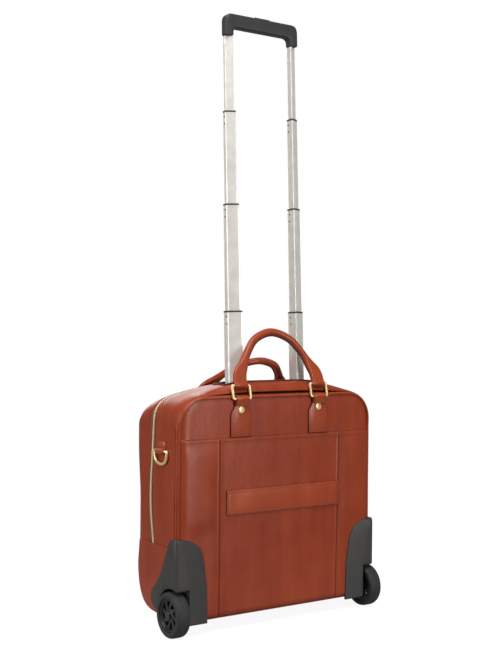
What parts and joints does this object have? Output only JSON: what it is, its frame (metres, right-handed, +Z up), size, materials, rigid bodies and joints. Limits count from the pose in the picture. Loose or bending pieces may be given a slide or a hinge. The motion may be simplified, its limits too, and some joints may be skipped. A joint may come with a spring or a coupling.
{
  "type": "rolling laptop case",
  "caption": "Leather laptop case with wheels at its lower rear corners, a telescopic pull handle, rolled carrying handles and a zipped front flap.",
  "frame": {"origin": "on the floor under the middle of the case's bounding box", "axes": "+Z up; the wheeled back faces -Y and the zipped front flap faces +Y; +X is to the right as seen from the back"},
  "size_m": [0.425, 0.1744, 1.0458],
  "materials": {
    "case_leather": "semi-gloss cognac leather",
    "trim_leather": "semi-gloss cognac leather with dark edges",
    "zip_tape": "dark woven tape",
    "brass": "polished pale gold",
    "pole_metal": "satin anodised",
    "steel": "dark steel",
    "housing_plastic": "charcoal, fine grained",
    "hub_plastic": "black, smooth",
    "tyre_rubber": "matt black",
    "grip_plastic": "black, satin",
    "board": "stiff black board"
  },
  "bodies": {
    "case": {"back_panel": "case_leather", "back_pocket": "case_leather", "back_strap": "trim_leather", "gusset_rear_left": "case_leather", "gusset_rear_right": "case_leather", "gusset_rear_top": "case_leather", "zip_tape": "zip_tape", "base_boot": "case_leather", "slot_bezel": "housing_plastic", "frame_board": "board", "base_tube_left": "pole_metal", "base_tube_right": "pole_metal", "rear_tab_left": "trim_leather", "rear_tab_right": "trim_leather", "rear_rivet_left": "brass", "rear_rivet_right": "brass", "d_ring_loop_left": "trim_leather", "d_ring_loop_right": "trim_leather", "wheel_housing_left": "housing_plastic", "wheel_housing_right": "housing_plastic", "axle_left": "steel", "axle_right": "steel", "foot_left": "tyre_rubber", "foot_right": "tyre_rubber"},
    "front_flap": {"front_panel": "case_leather", "front_pocket": "case_leather", "gusset_front_left": "case_leather", "gusset_front_right": "case_leather", "gusset_front_top": "case_leather", "front_tab_left": "trim_leather", "front_tab_right": "trim_leather", "front_rivet_left": "brass", "front_rivet_right": "brass"},
    "rear_rings": {"rear_ring_left": "brass", "rear_ring_right": "brass"},
    "rear_carry_handle": {"rear_handle": "trim_leather"},
    "front_rings": {"front_ring_left": "brass", "front_ring_right": "brass"},
    "front_carry_handle": {"front_handle": "trim_leather"},
    "stage_1": {"stage_1_tube_left": "pole_metal", "stage_1_tube_right": "pole_metal"},
    "stage_2": {"stage_2_tube_left": "pole_metal", "stage_2_tube_right": "pole_metal"},
    "stage_3": {"stage_3_tube_left": "pole_metal", "stage_3_tube_right": "pole_metal"},
    "stage_4": {"stage_4_tube_left": "pole_metal", "stage_4_tube_right": "pole_metal", "grip": "grip_plastic"},
    "button": {"grip_button": "grip_plastic"},
    "wheel_left": {"tyre_left": "tyre_rubber", "wheel_hub_left": "hub_plastic"},
    "wheel_right": {"tyre_right": "tyre_rubber", "wheel_hub_right": "hub_plastic"},
    "shoulder_ring_left": {"d_ring_left": "brass"},
    "shoulder_ring_right": {"d_ring_right": "brass"},
    "slider_left": {"zip_slider_left": "brass"},
    "slider_right": {"zip_slider_right": "brass"},
    "pull_left": {"zip_pull_left": "brass"},
    "pull_right": {"zip_pull_right": "brass"}
  },
  "joints": [
    {"name": "wheel_left_spin", "type": "hinge", "parent": "case", "child": "wheel_left", "pos_m": [-0.2, -0.05015, 0.037], "axis": [1, 0, 0], "continuous": true},
    {"name": "wheel_right_spin", "type": "hinge", "parent": "case", "child": "wheel_right", "pos_m": [0.2, -0.05015, 0.037], "axis": [1, 0, 0], "continuous": true},
    {"name": "flap_open", "type": "hinge", "parent": "case", "child": "front_flap", "pos_m": [0, 0.08485, 0.141], "axis": [-1, 0, 0], "range_deg": [0, 60]},
    {"name": "rear_rings_swing", "type": "hinge", "parent": "case", "child": "rear_rings", "pos_m": [0, -0.06765, 0.384], "axis": [1, 0, 0], "range_deg": [0, 60]},
    {"name": "rear_handle_swing", "type": "hinge", "parent": "rear_rings", "child": "rear_carry_handle", "pos_m": [0, -0.06295, 0.40611], "axis": [1, 0, 0], "range_deg": [0, 100]},
    {"name": "front_rings_swing", "type": "hinge", "parent": "front_flap", "child": "front_rings", "pos_m": [0, 0.07685, 0.3705], "axis": [-1, 0, 0], "range_deg": [0, 60]},
    {"name": "front_handle_swing", "type": "hinge", "parent": "front_rings", "child": "front_carry_handle", "pos_m": [0, 0.06115, 0.38676], "axis": [-1, 0, 0], "range_deg": [0, 130]},
    {"name": "shoulder_ring_left_swing", "type": "hinge", "parent": "case", "child": "shoulder_ring_left", "pos_m": [-0.2034, -0.01065, 0.298], "axis": [0, 1, 0], "range_deg": [0, 150]},
    {"name": "shoulder_ring_right_swing", "type": "hinge", "parent": "case", "child": "shoulder_ring_right", "pos_m": [0.2034, -0.01065, 0.298], "axis": [0, -1, 0], "range_deg": [0, 150]},
    {"name": "stage_1_slide", "type": "slide", "parent": "case", "child": "stage_1", "axis": [0, 0.046, 0.9989], "range_m": [-0.1304, 0]},
    {"name": "stage_2_slide", "type": "slide", "parent": "stage_1", "child": "stage_2", "axis": [0, 0.046, 0.9989], "range_m": [-0.1802, 0]},
    {"name": "stage_3_slide", "type": "slide", "parent": "stage_2", "child": "stage_3", "axis": [0, 0.046, 0.9989], "range_m": [-0.1574, 0]},
    {"name": "stage_4_slide", "type": "slide", "parent": "stage_3", "child": "stage_4", "axis": [0, 0.046, 0.9989], "range_m": [-0.1278, 0]},
    {"name": "button_press", "type": "slide", "parent": "stage_4", "child": "button", "axis": [0, 0.046, 0.9989], "range_m": [-0.003, 0], "stiffness_N_per_m": 600, "springref_m": 0.002},
    {"name": "slider_left_slide", "type": "slide", "parent": "case", "child": "slider_left", "axis": [-1, 0, 0], "range_m": [0, 0.08]},
    {"name": "slider_right_slide", "type": "slide", "parent": "case", "child": "slider_right", "axis": [1, 0, 0], "range_m": [0, 0.08]},
    {"name": "pull_left_swing", "type": "hinge", "parent": "slider_left", "child": "pull_left", "pos_m": [-0.016, 0.0213, 0.40701], "axis": [0, 0.9438, -0.3305], "range_deg": [0, 110]},
    {"name": "pull_right_swing", "type": "hinge", "parent": "slider_right", "child": "pull_right", "pos_m": [0.016, 0.0213, 0.40701], "axis": [0, -0.9438, 0.3305], "range_deg": [0, 110]}
  ]
}
